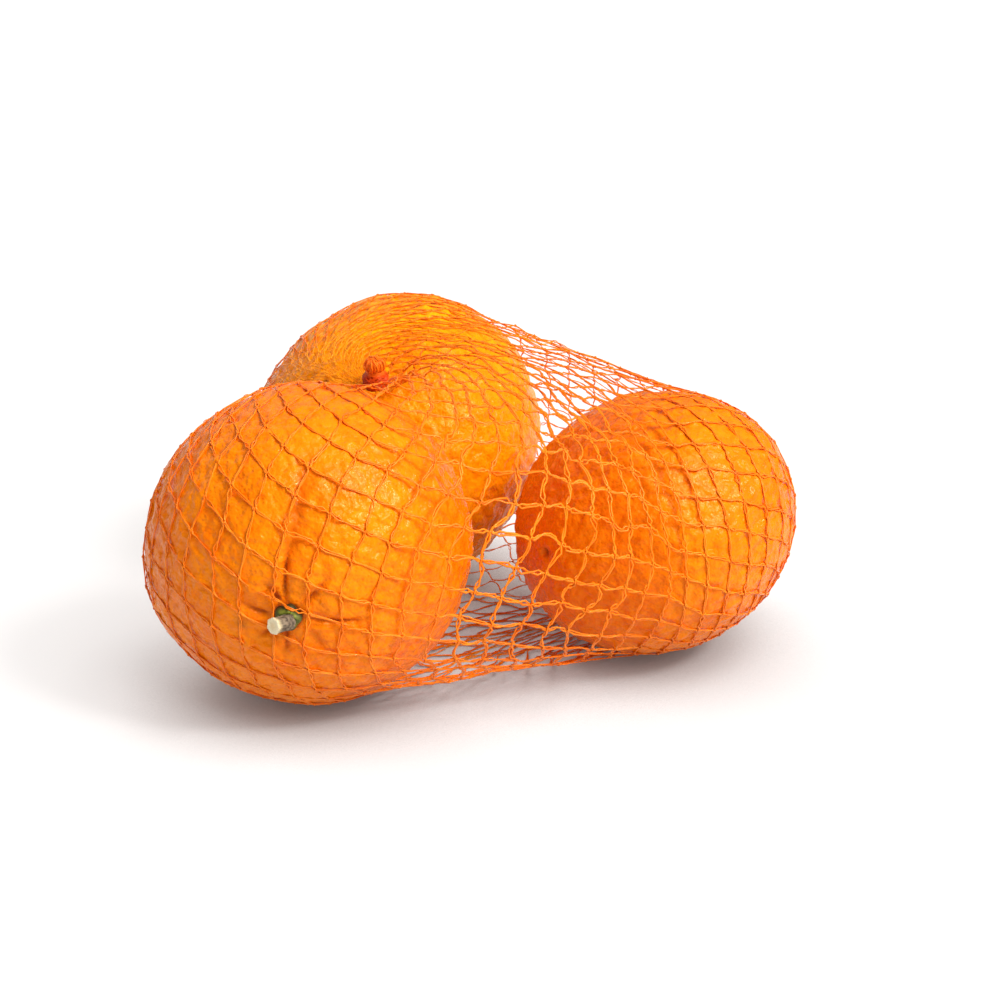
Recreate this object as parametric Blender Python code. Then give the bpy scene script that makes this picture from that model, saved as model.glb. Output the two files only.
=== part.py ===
"""Three tangelos in a retail net, lying on a table. Metres, +Z up.

The filled net is one solid, net_bag: three fruits side by side with the net drawn tight over
them, so that it bridges the gaps in taut webs and lies flat underneath. Both ends of the net
are gathered into a bunched knot: net_knot sits in the valley between the front and the rear
fruit, and net_knot_far low behind the right fruit. The front fruit shows its calyx with a
cut stem. The origin is on the table under the middle of the net, and +X runs along the net
from the pair of fruits to the single one; the calyx faces -Y.
"""

import math
from typing import NamedTuple

import bmesh
import bpy
import numpy as np
from mathutils import Matrix, Vector
from mathutils.bvhtree import BVHTree

MM = 0.001
GAP = 0.3 * MM                      # clearance between pieces that touch

NET_THICKNESS = 0.8 * MM            # how far the net stands off the peel
TABLE_PRESS = 0.3 * MM              # how far the net is squashed flat under each fruit
WEB_SLACK = 26                      # relaxation steps: more let the webs sag further
WEB_RATE = 0.5                      # share of the way to the neighbours' mean in one step
SKIN_DETAIL = 5                     # icosphere subdivisions of the net's skin

COLLECTION = "net_of_tangelos"


class Lump(NamedTuple):
    """A swelling, or a hollow where it is negative, on a fruit."""
    direction: tuple
    height: float                   # share of the fruit's radius
    width: float                    # radians


class Fruit(NamedTuple):
    """A tangelo: a flattened ball about its pole, with a few lumps."""
    x: float
    y: float
    equator: float
    polar: float
    pole: tuple
    lumps: tuple


FRONT = Fruit(
    x=-41.5 * MM, y=-37.9 * MM, equator=40.5 * MM, polar=38.5 * MM, pole=(-0.08, -0.99, -0.11),
    lumps=(
        Lump((-0.62, 0.28, 0.73), -0.021, 0.50),
        Lump((-0.94, -0.05, -0.32), 0.045, 0.35),
        Lump((-0.60, -0.15, -0.78), 0.013, 0.40),
        Lump((-0.08, -0.99, -0.11), -0.045, 0.20),
    ),
)
REAR = Fruit(
    x=-23.1 * MM, y=41.8 * MM, equator=42.0 * MM, polar=36.1 * MM, pole=(-0.60, -0.44, 0.67),
    lumps=(
        Lump((-0.45, 0.32, 0.83), -0.009, 0.45),
    ),
)
RIGHT = Fruit(
    x=46.5 * MM, y=-6.4 * MM, equator=37.2 * MM, polar=33.1 * MM, pole=(-0.44, 0.01, 0.90),
    lumps=(
        Lump((0.30, -0.90, -0.20), 0.008, 0.40),
    ),
)
FRUITS = (FRONT, REAR, RIGHT)

CALYX_RADIUS = 3.5 * MM
CALYX_HEIGHT = 1.4 * MM
CALYX_LOBES = 5
CALYX_LOBE_DEPTH = 0.14             # share of the radius
STEM_DIRECTION = (-0.60, -0.80, -0.05)
STEM_RADIUS = 1.75 * MM
STEM_LENGTH = 5.5 * MM

# Profile of a gathered end, base to tip: radius and height of each turn of the bunched net.
KNOT_PROFILE = (
    (2.6 * MM, 0.0 * MM),
    (3.3 * MM, 1.5 * MM),
    (3.4 * MM, 3.6 * MM),
    (2.3 * MM, 5.2 * MM),
    (3.0 * MM, 6.8 * MM),
    (2.4 * MM, 8.4 * MM),
    (1.0 * MM, 9.2 * MM),
)
KNOT_SIDES = 20
KNOT_SEAT = 6.5 * MM                # radius of the flattened net round the foot of a knot
KNOT_REACH = 16.0 * MM              # how far off its foot a knot still draws the net in

# Where the near knot draws the net into the cleft between the front and the rear fruit.
CLEFT_PULL = 0.5 * MM               # in one relaxation step
CLEFT_WIDTH = 17.0 * MM
CLEFT_END = -14.0 * MM              # the cleft runs from here towards -X
CLEFT_FADE = 20.0 * MM
CLEFT_FLOOR = 10.0 * MM             # and from this height up


class Gather(NamedTuple):
    """A bunched end of the net: its foot on the net's skin, and the way that it points."""
    name: str
    foot: tuple
    axis: tuple


GATHERS = (
    Gather("net_knot", (-26.6 * MM, 10.0 * MM, 65.9 * MM), (-0.02, -0.20, 0.98)),
    Gather("net_knot_far", (70.0 * MM, 18.0 * MM, 15.0 * MM), (0.62, 0.66, -0.42)),
)

PEEL = ("tangelo_peel", (1.0, 0.38, 0.02, 1.0), 0.42)
NET = ("orange_net", (0.95, 0.27, 0.03, 1.0), 0.45)
CALYX_GREEN = ("calyx_green", (0.16, 0.20, 0.03, 1.0), 0.60)
STEM_CREAM = ("stem_cream", (0.72, 0.66, 0.42, 1.0), 0.70)


def unit(vectors):
    vectors = np.asarray(vectors, dtype=float)
    return vectors / np.linalg.norm(vectors, axis=-1, keepdims=True)


def fruit_radius(fruit, directions):
    """Distance from the fruit's middle to its peel along each unit direction."""
    along_pole = directions @ unit(fruit.pole)
    across_squared = 1.0 - along_pole ** 2
    radius = (across_squared / fruit.equator ** 2 + along_pole ** 2 / fruit.polar ** 2) ** -0.5
    relief = np.ones(len(directions))
    for lump in fruit.lumps:
        angle = np.arccos(np.clip(directions @ unit(lump.direction), -1.0, 1.0))
        relief += lump.height * np.exp(-(angle / lump.width) ** 2)
    return radius * relief


def fruit_middle(fruit, directions):
    """The fruit rests on the table on the net's squashed strands."""
    lowest = (directions[:, 2] * fruit_radius(fruit, directions)).min()
    return np.array((fruit.x, fruit.y, NET_THICKNESS - TABLE_PRESS - lowest))


def icosphere():
    mesh = bmesh.new()
    bmesh.ops.create_icosphere(mesh, subdivisions=SKIN_DETAIL, radius=1.0)
    return mesh


def positions(mesh):
    return np.array([vert.co[:] for vert in mesh.verts])


def taut_hull(middles, directions):
    """The net pulled as tight as it goes: the convex hull of the three padded fruits."""
    hull = bmesh.new()
    for fruit, middle in zip(FRUITS, middles):
        padded = fruit_radius(fruit, directions) + NET_THICKNESS
        for point in middle + directions * padded[:, None]:
            hull.verts.new((point[0], point[1], max(point[2], 0.0)))
    result = bmesh.ops.convex_hull(hull, input=hull.verts[:])
    unused = set(result["geom_interior"]) | set(result["geom_unused"])
    bmesh.ops.delete(hull, geom=[item for item in unused if isinstance(item, bmesh.types.BMVert)],
                     context="VERTS")
    return hull


def wrap(skin, hull):
    """Move each vertex of the skin out from the middle onto the hull."""
    corners = positions(hull)
    low, high = corners.min(axis=0), corners.max(axis=0)
    middle = Vector((low + high) / 2)
    half = Vector((high - low) / 2)
    surface = BVHTree.FromBMesh(hull)
    for vert in skin.verts:
        outward = Vector([a * b for a, b in zip(vert.co, half)]).normalized()
        vert.co = surface.ray_cast(middle, outward)[0]


def push_out(points, middles):
    """Keep the skin outside every fruit."""
    for fruit, middle in zip(FRUITS, middles):
        offset = points - middle
        distance = np.linalg.norm(offset, axis=1)
        directions = offset / distance[:, None]
        needed = fruit_radius(fruit, directions) + NET_THICKNESS
        inside = distance < needed
        points[inside] = middle + directions[inside] * needed[inside, None]


def draw_into_cleft(points, middles):
    """Pull the skin in between the front and the rear fruit, on the side of the near knot."""
    front, rear = middles[0], middles[1]
    centre = (front + rear) / 2
    across = (points - centre) @ unit(rear - front)
    share = np.exp(-(across / CLEFT_WIDTH) ** 2)
    share *= ((CLEFT_END - points[:, 0]) / CLEFT_FADE).clip(0.0, 1.0)
    share *= ((points[:, 2] - CLEFT_FLOOR) / CLEFT_FADE).clip(0.0, 1.0)
    points += CLEFT_PULL * share[:, None] * unit(centre - points)


def seat_gathers(points):
    """Flatten the skin round the foot of each knot, square to the knot."""
    for gather in GATHERS:
        axis = unit(gather.axis)
        offset = points - np.array(gather.foot)
        height = offset @ axis
        aside = np.linalg.norm(offset - height[:, None] * axis, axis=1)
        seat = (aside < KNOT_SEAT) & (np.abs(height) < KNOT_REACH)
        points[seat] -= height[seat, None] * axis


def relax(skin, middles):
    """Let the webs sag between the fruits, with the flat underside and the knots held."""
    points = positions(skin)
    edges = np.array([[vert.index for vert in edge.verts] for edge in skin.edges])
    degree = np.bincount(edges.ravel(), minlength=len(points))[:, None]
    underside = points[:, 2] < 1e-6
    for _ in range(WEB_SLACK):
        total = np.zeros_like(points)
        np.add.at(total, edges[:, 0], points[edges[:, 1]])
        np.add.at(total, edges[:, 1], points[edges[:, 0]])
        points += WEB_RATE * (total / degree - points)
        draw_into_cleft(points, middles)
        push_out(points, middles)
        points[underside, 2] = 0.0
        points[:, 2] = points[:, 2].clip(min=0.0)
        seat_gathers(points)
    for vert, point in zip(skin.verts, points):
        vert.co = point


def material(spec):
    name, colour, roughness = spec
    result = bpy.data.materials.new(name)
    result.use_nodes = True
    shader = result.node_tree.nodes["Principled BSDF"]
    shader.inputs["Base Color"].default_value = colour
    shader.inputs["Roughness"].default_value = roughness
    shader.inputs["Metallic"].default_value = 0.0
    result.diffuse_color = colour
    return result


def add_object(name, mesh, spec, collection):
    """Turn a bmesh into a smooth-shaded object of one material."""
    data = bpy.data.meshes.new(name)
    mesh.to_mesh(data)
    mesh.free()
    data.shade_smooth()
    data.materials.append(material(spec))
    result = bpy.data.objects.new(name, data)
    collection.objects.link(result)
    return result


def placed(origin, axis):
    """A frame at origin whose +Z runs along axis."""
    return Matrix.Translation(origin) @ Vector(axis).to_track_quat("Z", "Y").to_matrix().to_4x4()


def build_bag(collection):
    sphere = icosphere()
    directions = unit(positions(sphere))
    middles = [fruit_middle(fruit, directions) for fruit in FRUITS]
    hull = taut_hull(middles, directions)
    wrap(sphere, hull)
    hull.free()
    relax(sphere, middles)
    bmesh.ops.recalc_face_normals(sphere, faces=sphere.faces)
    surface = BVHTree.FromBMesh(sphere)
    add_object("net_bag", sphere, PEEL, collection)
    return surface, Vector(middles[0])


def build_calyx(surface, middle, collection):
    """A five-lobed green button on the peel, with the cut stem leaning off it."""
    outward = Vector(FRONT.pole).normalized()
    foot, normal = surface.ray_cast(middle, outward)[:2]
    if normal.dot(outward) < 0.0:
        normal = -normal
    button = bmesh.new()
    bmesh.ops.create_uvsphere(button, u_segments=30, v_segments=10, radius=1.0)
    for vert in button.verts:
        lobes = 1.0 - CALYX_LOBE_DEPTH * math.sin(CALYX_LOBES * math.atan2(vert.co.y, vert.co.x) / 2) ** 2
        vert.co.x *= CALYX_RADIUS * lobes
        vert.co.y *= CALYX_RADIUS * lobes
        vert.co.z = max(vert.co.z, 0.0) * CALYX_HEIGHT
    calyx_frame = placed(foot + 2 * GAP * normal, normal)
    button.transform(calyx_frame)
    add_object("calyx", button, CALYX_GREEN, collection)

    lean = Vector(STEM_DIRECTION).normalized()
    stub = bmesh.new()
    bmesh.ops.create_cone(stub, cap_ends=True, segments=18, radius1=STEM_RADIUS,
                          radius2=0.85 * STEM_RADIUS, depth=STEM_LENGTH)
    clear = STEM_RADIUS * lean.cross(normal).length + GAP
    base = calyx_frame @ Vector((0.0, 0.0, CALYX_HEIGHT)) + clear * normal
    stub.transform(placed(base + lean * STEM_LENGTH / 2, lean))
    add_object("stem_stub", stub, STEM_CREAM, collection)


def build_knot(gather, collection):
    """A gathered end of the net, turned from its profile."""
    outline = bmesh.new()
    turns = [(0.0, KNOT_PROFILE[0][1])] + list(KNOT_PROFILE) + [(0.0, KNOT_PROFILE[-1][1])]
    verts = [outline.verts.new((radius, 0.0, height)) for radius, height in turns]
    edges = [outline.edges.new(pair) for pair in zip(verts, verts[1:])]
    bmesh.ops.spin(outline, geom=verts + edges, cent=(0, 0, 0), axis=(0, 0, 1), angle=math.tau,
                   steps=KNOT_SIDES, use_merge=True)
    bmesh.ops.remove_doubles(outline, verts=outline.verts, dist=1e-6)
    bmesh.ops.recalc_face_normals(outline, faces=outline.faces)
    axis = Vector(gather.axis).normalized()
    outline.transform(placed(Vector(gather.foot) + GAP * axis, axis))
    add_object(gather.name, outline, NET, collection)


def main():
    for item in list(bpy.data.objects):
        bpy.data.objects.remove(item)
    collection = bpy.data.collections.new(COLLECTION)
    bpy.context.scene.collection.children.link(collection)
    surface, front_middle = build_bag(collection)
    build_calyx(surface, front_middle, collection)
    for gather in GATHERS:
        build_knot(gather, collection)


main()
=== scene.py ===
"""The looks of a net of tangelos: three fruits with pebbled, furrowed peel in a knitted orange net.

The fruits, the two sets of knitted chains with the stitches that join them, the two bunched knots,
and the calyx with its cut stem take the place of the frame's plain solids. Metres, +Z up.
"""

import math
from typing import NamedTuple

import bmesh
import bpy
import numpy as np
from mathutils import Matrix, Vector
from mathutils.bvhtree import BVHTree


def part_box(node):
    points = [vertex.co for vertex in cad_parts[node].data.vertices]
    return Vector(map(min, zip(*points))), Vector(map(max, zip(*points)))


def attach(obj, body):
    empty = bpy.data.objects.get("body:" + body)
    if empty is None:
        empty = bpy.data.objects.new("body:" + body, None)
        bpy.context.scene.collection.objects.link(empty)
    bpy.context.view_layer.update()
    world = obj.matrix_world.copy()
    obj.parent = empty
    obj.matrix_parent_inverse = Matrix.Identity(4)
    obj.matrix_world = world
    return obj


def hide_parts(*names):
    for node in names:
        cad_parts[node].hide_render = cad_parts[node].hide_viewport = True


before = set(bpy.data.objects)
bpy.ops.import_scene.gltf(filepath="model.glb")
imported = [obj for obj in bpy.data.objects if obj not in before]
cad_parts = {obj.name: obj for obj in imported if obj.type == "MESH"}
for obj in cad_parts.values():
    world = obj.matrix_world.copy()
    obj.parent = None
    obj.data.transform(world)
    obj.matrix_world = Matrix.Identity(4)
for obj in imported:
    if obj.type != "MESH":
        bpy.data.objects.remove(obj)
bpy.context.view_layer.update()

MM = 0.001


class Lump(NamedTuple):
    """A swelling, or a hollow where it is negative, on a fruit."""
    direction: tuple
    height: float                   # share of the fruit's radius
    width: float                    # radians


class Crease(NamedTuple):
    """A crease in the peel that runs out from the fruit's pole."""
    bearing: float                  # degrees clockwise from up, seen from outside
    start: float                    # distance from the pole along the peel
    end: float
    bend: float                     # degrees that it turns on the way
    width: float
    depth: float


class Spot(NamedTuple):
    """A small dark pit or a bruise in the peel."""
    direction: tuple
    radius: float
    depth: float
    shade: float                    # how far the peel turns to the mark's colour


class Fruit(NamedTuple):
    """A tangelo: a flattened ball about its pole, with lumps, furrows and marks."""
    name: str
    x: float
    y: float
    equator: float
    polar: float
    pole: tuple
    lumps: tuple
    creases: tuple
    spots: tuple
    yellow: float                   # how far the peel leans from deep orange to yellow
    seed: int


FRONT = Fruit(
    name="tangelo_front", x=-41.5 * MM, y=-37.9 * MM, equator=40.5 * MM, polar=38.5 * MM,
    pole=(-0.08, -0.99, -0.11),
    lumps=(
        Lump((-0.62, 0.28, 0.73), -0.021, 0.50),
        Lump((-0.94, -0.05, -0.32), 0.045, 0.35),
        Lump((-0.60, -0.15, -0.78), 0.013, 0.40),
        Lump((-0.08, -0.99, -0.11), -0.045, 0.20),
    ),
    creases=(
        Crease(352, 3.0 * MM, 24.0 * MM, 12, 0.58 * MM, 1.5 * MM),
        Crease(4, 14.0 * MM, 46.0 * MM, 2, 2.0 * MM, 0.72 * MM),
        Crease(51, 3.5 * MM, 16.0 * MM, -7, 0.65 * MM, 1.2 * MM),
        Crease(102, 3.0 * MM, 23.0 * MM, -5, 0.65 * MM, 1.2 * MM),
        Crease(189, 3.0 * MM, 12.5 * MM, -3, 0.65 * MM, 1.1 * MM),
        Crease(224, 4.0 * MM, 11.5 * MM, 7, 0.65 * MM, 0.9 * MM),
        Crease(268, 4.0 * MM, 14.0 * MM, 18, 0.75 * MM, 1.0 * MM),
        Crease(328, 3.5 * MM, 11.5 * MM, 2, 0.80 * MM, 1.1 * MM),
        Crease(135, 5.0 * MM, 17.0 * MM, 5, 1.8 * MM, 0.6 * MM),
    ),
    spots=(
        Spot((-0.371, -0.911, -0.182), 1.5 * MM, 0.1 * MM, 0.60),
    ),
    yellow=0.30, seed=11,
)
REAR = Fruit(
    name="tangelo_rear", x=-23.1 * MM, y=41.8 * MM, equator=42.0 * MM, polar=36.1 * MM,
    pole=(-0.60, -0.44, 0.67),
    lumps=(
        Lump((-0.45, 0.32, 0.83), -0.009, 0.45),
    ),
    creases=(),
    spots=(
        Spot((-0.570, -0.445, 0.691), 0.8 * MM, 0.4 * MM, 1.0),
        Spot((-0.591, -0.474, 0.653), 0.6 * MM, 0.3 * MM, 0.9),
        Spot((-0.487, -0.565, 0.666), 1.0 * MM, 0.6 * MM, 1.0),
    ),
    yellow=1.1, seed=12,
)
RIGHT = Fruit(
    name="tangelo_right", x=46.5 * MM, y=-6.4 * MM, equator=37.2 * MM, polar=33.1 * MM,
    pole=(-0.44, 0.01, 0.90),
    lumps=(
        Lump((0.30, -0.90, -0.20), 0.008, 0.40),
    ),
    creases=(),
    spots=(
        Spot((-0.791, -0.611, 0.005), 1.2 * MM, 1.2 * MM, 0.8),
    ),
    yellow=0.20, seed=13,
)
FRUITS = (FRONT, REAR, RIGHT)
FRUIT_REST = 0.5 * MM               # the squashed net that each fruit rests on
FRUIT_DETAIL = 7                    # icosphere subdivisions of a fruit

# Relief of the peel: height of each swell, and the distance between its crests.
SWELL = (0.16 * MM, 19.0 * MM)
VALLEY_WIDTH = 3.6                  # of the valley that a crease lies in, as a share of the crease's width
VALLEY_DEPTH = 0.6                  # and of the crease's depth
PEBBLES = ((0.13 * MM, 4.8 * MM), (0.10 * MM, 2.6 * MM))

# The net is a sheet of diamonds, closed into a tube and drawn in at both ends.
NET_COLUMNS = 44
NET_ROWS = 38
NET_TWIST = 0.9                     # columns that each row is turned on from the one before it
STRAND_LENGTH = 8.0 * MM
STRAND_UNEVEN = 0.07                # share of the length
DRAW_NEAR = (-34.0 * MM, 5.0 * MM, 62.0 * MM)       # where the first rows start out round
DRAW_FAR = (72.0 * MM, 15.0 * MM, 15.0 * MM)        # and the last rows
NEAR_SPREAD = -2.2                  # log of the first row's angular radius, and of the last one's inverse
FAR_SPREAD = 2.4
TENSION_STEPS = 300
TENSION = 0.05                      # share of the way to the neighbours' mean in one step
STRETCH_PASSES = 10
STRETCH_RATE = 1.4
GATHER_RING = 2.0 * MM              # radius of the ring in which the strands enter a knot
NET_ON_PEEL = 0.34 * MM             # from the peel to the middle of a strand that lies on it
NET_SLACK = 0.45 * MM               # how far a junction strays in an open web
PEEL_STRAY = 0.25                   # share of that on the peel
WEB_CLEARANCE = 6.0 * MM            # a junction this far off the peel is in an open web
PEEL_HUG = 0.45 * MM                # how far a junction over a fruit is drawn in from the skin
FRUIT_REACH = 1.06                  # share of its equator beyond which a fruit touches nothing

JUNCTION_LENGTH = 1.3 * MM
CHAIN_ASIDE = 0.19 * MM             # from a junction's middle to each of its two chains
OPEN_SPACING = 5.0 * MM             # junctions closer than this are drawn together, with thinner filaments
DRAWN_WIDTH = 0.20                  # share of its width that a filament keeps there
DRAWN_THICKNESS = 0.4               # and of its thickness, once it has no width left
WEB_WIDENING = 0.40                 # share it gains in the open web in front, and loses in the one behind
WEB_TURN = 25.0 * MM                # how far before and behind the origin that is so in full
JUNCTION_SAMPLES = 2
SPAN_SAMPLES = 5
TUBE_SIDES = 4                      # of a filament's cross-section
FILAMENT_WIDTH = 0.22 * MM          # half the width of a filament, and half its thickness
FILAMENT_THICKNESS = 0.13 * MM
FILAMENT_ASIDE = 0.17 * MM          # from a chain's middle to each of its two filaments
LOOP_OPENING = 0.42 * MM            # how far the filaments part in a loop beside a junction
LOOP_PLACE = 0.17                   # share of a strand from its ends to the middle of a loop
LOOP_SPREAD = 0.13
CHAIN_TWIST = (0.15, 0.95)          # turns in one strand, least and most
JUNCTION_TWIST = 0.5                # turns in one junction
CHAIN_FLATNESS = 0.6                # height of a twisted chain, as a share of its width
FILAMENT_ROLL = 0.6                 # radians that a flat filament rolls to each side
FILAMENT_STRAY = 0.03 * MM
FILAMENT_GAP = 0.06 * MM            # between a filament and the peel
STRAND_BOW = (0.12, 0.45)           # millimetres that a strand bows, and that it gains in an open web
STITCH_SAMPLES = 10
STITCH_FILAMENT = 0.8               # size of its filament, as a share of a chain's
STITCH_WIDTH = (2.2, 0.5)           # least half width, and what some gain, in CHAIN_ASIDE
STITCH_HEIGHT = 1.5                 # half its height, in CHAIN_ASIDE
STITCH_LEAN = 0.175                 # how far it leans and curls along the chains,
STITCH_CURL = 0.2                   # as shares of a junction's length

KNOT_FILAMENT = 0.8                 # width of a filament in a knot, as a share of a chain's
KNOT_SAMPLES = 64                   # along each of its filaments
# Profile of a gathered end, base to tip: radius and height of each turn of the bunched net.
KNOT_PROFILE = (
    (2.6 * MM, 0.0 * MM),
    (3.3 * MM, 1.5 * MM),
    (3.4 * MM, 3.6 * MM),
    (2.3 * MM, 5.2 * MM),
    (3.0 * MM, 6.8 * MM),
    (2.4 * MM, 8.4 * MM),
    (1.0 * MM, 9.2 * MM),
)


class Gather(NamedTuple):
    """A bunched end of the net: its foot on the net's skin, and the way that it points."""
    name: str
    node: str
    foot: tuple
    axis: tuple
    seed: int


GATHERS = (
    Gather("knot_near", "net_knot", (-26.6 * MM, 10.0 * MM, 65.9 * MM), (-0.02, -0.20, 0.98), 31),
    Gather("knot_far", "net_knot_far", (70.0 * MM, 18.0 * MM, 15.0 * MM), (0.62, 0.66, -0.42), 32),
)

CALYX_RADIUS = 3.5 * MM
CALYX_HEIGHT = 1.4 * MM
CALYX_LIFT = 2.6 * MM               # from the peel to where the net crosses the calyx
CALYX_SHADE = 0.7 * MM              # width of the ring of painted shadow on the peel round it
CALYX_LOBES = 5
CALYX_LOBE_DEPTH = 0.14             # share of the radius
STEM_DIRECTION = (-0.62, -0.74, 0.12)
STEM_RADIUS = 1.95 * MM
STEM_LENGTH = 4.6 * MM

FLOOR_SHADE_REACH = 38.0 * MM       # how near something must be for the floor's painted light to dim to a painted shadow below it

CAMERA_PLACE = (6.1 * MM, -690.2 * MM, 300.3 * MM)
CAMERA_TILT = 69.2                  # degrees up from straight down
CAMERA_LENS = 100.8                 # millimetres, on a sensor of the width below
CAMERA_SENSOR = 36.0


def unit(vectors):
    vectors = np.asarray(vectors, dtype=float)
    return vectors / np.linalg.norm(vectors, axis=-1, keepdims=True)


# ---------------------------------------------------------------- fruits

def ripple(directions, pitch, seed, waves=28):
    """A random swell of about unit height on the unit sphere, its crests pitch radians apart."""
    draw = np.random.default_rng(seed)
    wave = unit(draw.normal(size=(waves, 3))) * (math.tau / pitch)
    phase = draw.uniform(0.0, math.tau, waves)
    return np.sin(directions @ wave.T + phase).sum(axis=1) * math.sqrt(2.0 / waves)


def fruit_form(fruit, directions):
    """Distance from the fruit's middle to its peel along each unit direction, without fine relief."""
    along_pole = directions @ unit(fruit.pole)
    across_squared = 1.0 - along_pole ** 2
    radius = (across_squared / fruit.equator ** 2 + along_pole ** 2 / fruit.polar ** 2) ** -0.5
    relief = np.ones(len(directions))
    for lump in fruit.lumps:
        angle = np.arccos(np.clip(directions @ unit(lump.direction), -1.0, 1.0))
        relief += lump.height * np.exp(-(angle / lump.width) ** 2)
    return radius * relief


def swelled(fruit, directions):
    """The peel that the net lies on: the form with its slow swells."""
    height, spacing = SWELL
    return fruit_form(fruit, directions) + height * ripple(directions, spacing / fruit.equator, fruit.seed)


def bearings(fruit, directions):
    """Distance from the pole along the peel, and bearing round it in radians clockwise from up."""
    pole = unit(fruit.pole)
    up = np.array((0.0, 0.0, 1.0))
    up = unit(up - (up @ pole) * pole)
    right = np.cross(up, pole)
    angle = np.arccos(np.clip(directions @ pole, -1.0, 1.0))
    return angle * fruit.equator, np.arctan2(directions @ right, directions @ up)


def crease_share(crease, distance, bearing):
    """How deep each point lies in a crease, from 0 to 1."""
    along = (distance - crease.start) / (crease.end - crease.start)
    middle = np.radians(crease.bearing + crease.bend * along)
    turn = (bearing - middle + math.pi) % math.tau - math.pi
    aside = turn * distance
    ends = np.clip(along * 4.0, 0.0, 1.0) * np.clip((1.0 - along) * 2.0, 0.0, 1.0)
    return np.exp(-(aside / crease.width) ** 2) * ends * (np.abs(turn) < 1.0)


def icosphere(subdivisions):
    mesh = bmesh.new()
    bmesh.ops.create_icosphere(mesh, subdivisions=subdivisions, radius=1.0)
    return mesh


def positions(mesh):
    return np.array([vert.co[:] for vert in mesh.verts])


def fruit_middle(fruit, directions):
    lowest = (directions[:, 2] * fruit_form(fruit, directions)).min()
    return np.array((fruit.x, fruit.y, FRUIT_REST - lowest))


def build_fruit(fruit):
    sphere = icosphere(FRUIT_DETAIL)
    directions = unit(positions(sphere))
    middle = fruit_middle(fruit, directions)
    radius = swelled(fruit, directions)
    for index, (height, spacing) in enumerate(PEBBLES):
        radius += height * ripple(directions, spacing / fruit.equator, fruit.seed + 100 * (index + 1), 48)
    distance, bearing = bearings(fruit, directions)
    # Painted shade: the peel is darkened along each crease, the more the deeper the crease, and in a ring
    # round the calyx.
    peel_painted_shade = np.zeros(len(directions))
    for crease in fruit.creases:
        share = crease_share(crease, distance, bearing)
        valley = crease_share(crease._replace(width=VALLEY_WIDTH * crease.width), distance, bearing)
        radius -= crease.depth * (share + VALLEY_DEPTH * valley)
        peel_painted_shade = np.maximum(peel_painted_shade, share * min(1.0, crease.depth / MM) ** 2)
    # Painted shadow in a ring on the peel round the calyx.
    if fruit.creases:
        peel_painted_shade = np.maximum(peel_painted_shade, np.exp(-((distance - CALYX_RADIUS) / CALYX_SHADE) ** 2))
    spotted = np.zeros(len(directions))
    for spot in fruit.spots:
        aside = np.arccos(np.clip(directions @ unit(spot.direction), -1.0, 1.0)) * fruit.equator
        share = np.exp(-(aside / spot.radius) ** 2)
        radius -= spot.depth * share
        spotted = np.maximum(spotted, spot.shade * share)
    points = middle + directions * radius[:, None]
    points[:, 2] = points[:, 2].clip(min=FRUIT_REST - 0.1 * MM)
    for vert, point in zip(sphere.verts, points):
        vert.co = point
    piece = add_piece(fruit.name, sphere, peel_material(fruit), "net_bag")
    add_attribute(piece.data, "peel_painted_shade", peel_painted_shade)
    add_attribute(piece.data, "spot", spotted)
    return middle


# ---------------------------------------------------------------- meshes

def finish_piece(name, data, material, node):
    data.shade_smooth()
    data.materials.append(material)
    piece = bpy.data.objects.new(name, data)
    bpy.context.scene.collection.objects.link(piece)
    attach(piece, "root")
    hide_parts(node)
    return piece


def add_piece(name, mesh, material, node):
    """Turn a bmesh into a piece that stands for a CAD node."""
    bmesh.ops.recalc_face_normals(mesh, faces=mesh.faces)
    data = bpy.data.meshes.new(name)
    mesh.to_mesh(data)
    mesh.free()
    return finish_piece(name, data, material, node)


def add_attribute(data, name, values):
    layer = data.attributes.new(name, "FLOAT", "POINT")
    layer.data.foreach_set("value", np.asarray(values, dtype=np.float32))


def tube_mesh(name, paths, across, outward, widths, thicknesses, closed=False):
    """One mesh of tubes. paths is (tube, sample, 3); across and outward span each cross-section."""
    tubes, samples = paths.shape[:2]
    angle = np.arange(TUBE_SIDES) * math.tau / TUBE_SIDES
    ring = (across[:, :, None] * (np.cos(angle)[:, None] * widths[..., None, None])
            + outward[:, :, None] * (np.sin(angle)[:, None] * thicknesses[..., None, None]))
    verts = (paths[:, :, None] + ring).reshape(-1, 3)
    corner = np.arange(tubes * samples * TUBE_SIDES).reshape(tubes, samples, TUBE_SIDES)
    following = np.roll(corner, -1, axis=1) if closed else corner[:, 1:]
    start = corner if closed else corner[:, :-1]
    quads = np.stack((start, np.roll(start, -1, axis=2),
                      np.roll(following, -1, axis=2), following), axis=-1)
    faces = quads.reshape(-1, 4).tolist()
    if not closed:
        faces += corner[:, 0, ::-1].tolist() + corner[:, -1].tolist()
    data = bpy.data.meshes.new(name)
    data.from_pydata(verts.tolist(), [], faces)
    return data


def ring_faces(corner):
    """Quads between each ring of vertices and the next one."""
    quads = np.stack((corner[:-1], np.roll(corner[:-1], -1, 1),
                      np.roll(corner[1:], -1, 1), corner[1:]), axis=-1)
    return quads.reshape(-1, 4).tolist()


def tip_faces(ring, tip):
    """Triangles from a ring of vertices to the one at its middle."""
    return [[int(first), int(second), tip] for first, second in zip(ring, np.roll(ring, -1))]


def along_path(paths):
    """Unit tangents of (tube, sample, 3) paths."""
    return unit(np.gradient(paths, axis=1))


# ---------------------------------------------------------------- net

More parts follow.
